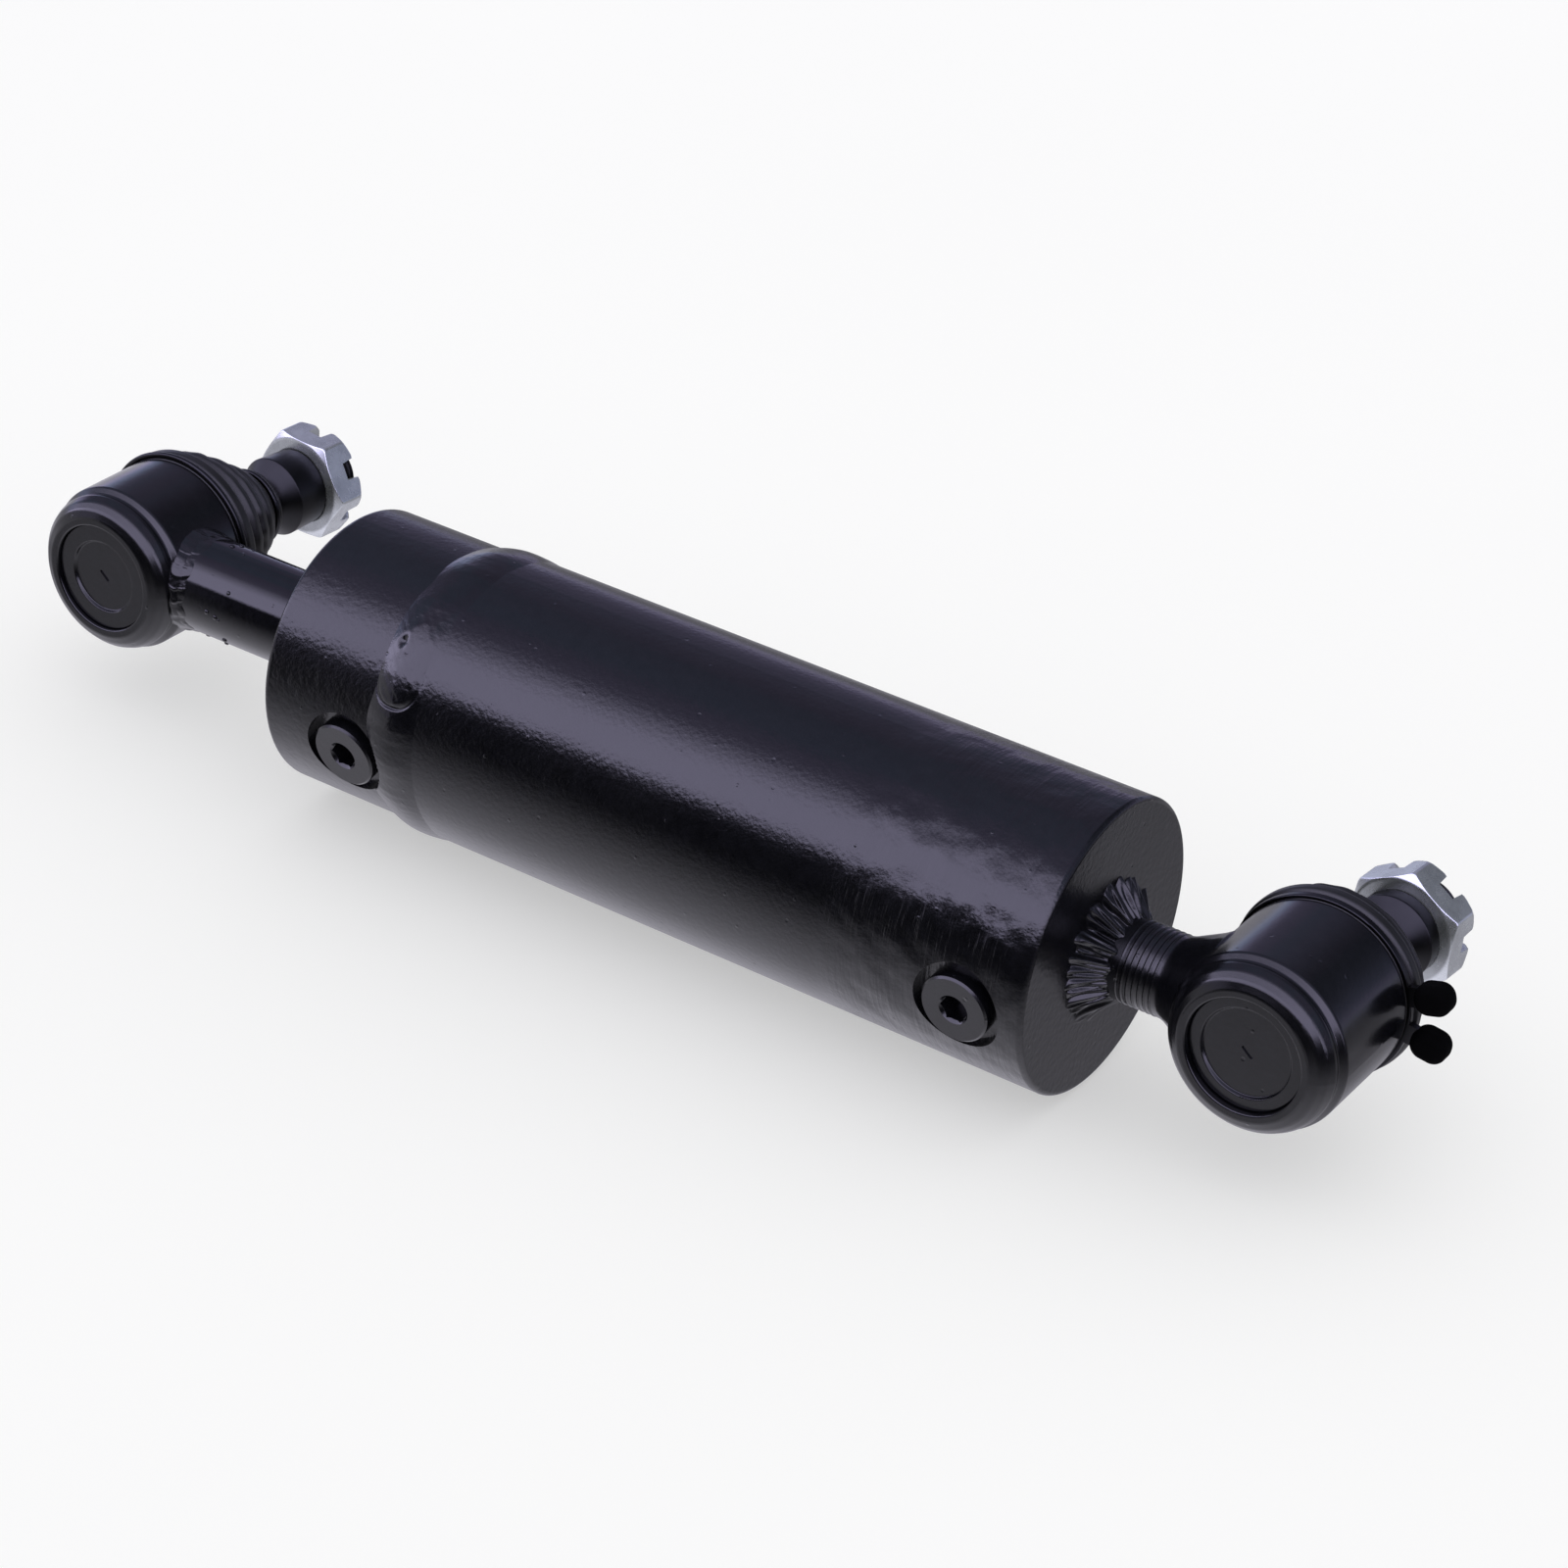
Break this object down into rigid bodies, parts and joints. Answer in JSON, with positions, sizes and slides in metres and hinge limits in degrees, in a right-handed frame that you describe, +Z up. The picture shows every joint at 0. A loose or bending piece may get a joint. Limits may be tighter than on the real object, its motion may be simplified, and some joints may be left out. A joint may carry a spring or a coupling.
{
  "type": "hydraulic cylinder",
  "caption": "Compact double-acting welded hydraulic cylinder with a studded ball joint at each end, two plugged side ports and slotted stud nuts.",
  "frame": {"origin": "centre of the ball in the cap-end joint, on the cylinder's axis", "axes": "+X along the cylinder from the rod end to the cap end, +Y away from the ports and, but for the studs' 4 degree lean at rest, along the ball studs, +Z up"},
  "size_m": [0.3925, 0.1101, 0.0752],
  "materials": {
    "black_paint": "semi-gloss black spray paint over turned and welded steel",
    "painted_rod": "chromed rod with black overspray on its exposed end",
    "bright_steel": "machined steel",
    "spring_steel": "dark spring steel",
    "dark_stud_steel": "blackened forged and turned steel",
    "zinc_nut": "bright zinc plate",
    "boot_rubber": "moulded black rubber",
    "clamp_caps": "matt black soft plastic dip",
    "seal_rubber": "nitrile rubber",
    "seal_plastic": "filled PTFE",
    "bushing_bronze": "sintered bronze",
    "seat_plastic": "acetal"
  },
  "bodies": {
    "barrel": {"barrel_tube": "black_paint", "end_cap": "black_paint", "cap_weld": "black_paint", "rod_head": "black_paint", "head_weld": "black_paint", "cap_joint_housing": "black_paint", "cap_joint_weld": "black_paint", "cap_closing_plate": "black_paint", "cap_port_plug": "black_paint", "head_port_plug": "black_paint", "cap_boot_clamp": "spring_steel", "cap_disc_spring": "spring_steel", "cap_boot": "boot_rubber", "clamp_ear_caps": "clamp_caps", "rod_seal": "seal_rubber", "rod_wiper": "seal_rubber", "cap_port_oring": "seal_rubber", "head_port_oring": "seal_rubber", "rod_bushing": "bushing_bronze", "cap_ball_seat": "seat_plastic", "cap_pressure_pad": "seat_plastic"},
    "piston_rings": {"piston_seal": "seal_plastic", "piston_seal_expander": "seal_rubber", "piston_guide_rings": "seal_plastic"},
    "rod": {"piston_rod": "painted_rod", "piston": "bright_steel", "piston_oring": "seal_rubber", "piston_nut": "bright_steel", "rod_joint_housing": "black_paint", "rod_joint_weld": "black_paint", "rod_ball_seat": "seat_plastic", "rod_pressure_pad": "seat_plastic", "rod_disc_spring": "spring_steel", "rod_closing_plate": "black_paint", "rod_boot": "boot_rubber", "rod_boot_ring": "spring_steel"},
    "rod_stud_swivel": {"rod_boot_neck_ring": "spring_steel"},
    "rod_stud": {"rod_ball_stud": "dark_stud_steel", "rod_stud_nut": "zinc_nut"},
    "cap_stud_swivel": {"cap_boot_neck_ring": "spring_steel"},
    "cap_stud": {"cap_ball_stud": "dark_stud_steel", "cap_stud_nut": "zinc_nut"}
  },
  "joints": [
    {"name": "rod_slide", "type": "slide", "parent": "barrel", "child": "piston_rings", "axis": [-1, 0, 0], "range_m": [0, 0.105]},
    {"name": "rod_turn", "type": "hinge", "parent": "piston_rings", "child": "rod", "pos_m": [-0.336, 0, 0], "axis": [1, 0, 0], "continuous": true},
    {"name": "rod_stud_swing", "type": "hinge", "parent": "rod", "child": "rod_stud_swivel", "pos_m": [-0.336, 0, 0], "axis": [0, 0, 1], "range_deg": [-16, 21], "deforming": ["rod_boot"]},
    {"name": "rod_stud_spin", "type": "hinge", "parent": "rod_stud_swivel", "child": "rod_stud", "pos_m": [-0.336, 0, 0], "axis": [0.0698, 0.9976, 0], "continuous": true},
    {"name": "cap_stud_swing", "type": "hinge", "parent": "barrel", "child": "cap_stud_swivel", "pos_m": [0, 0, 0], "axis": [0, 0, 1], "range_deg": [-16, 19], "deforming": ["cap_boot"]},
    {"name": "cap_stud_spin", "type": "hinge", "parent": "cap_stud_swivel", "child": "cap_stud", "pos_m": [0, 0, 0], "axis": [0.0698, 0.9976, 0], "continuous": true}
  ]
}
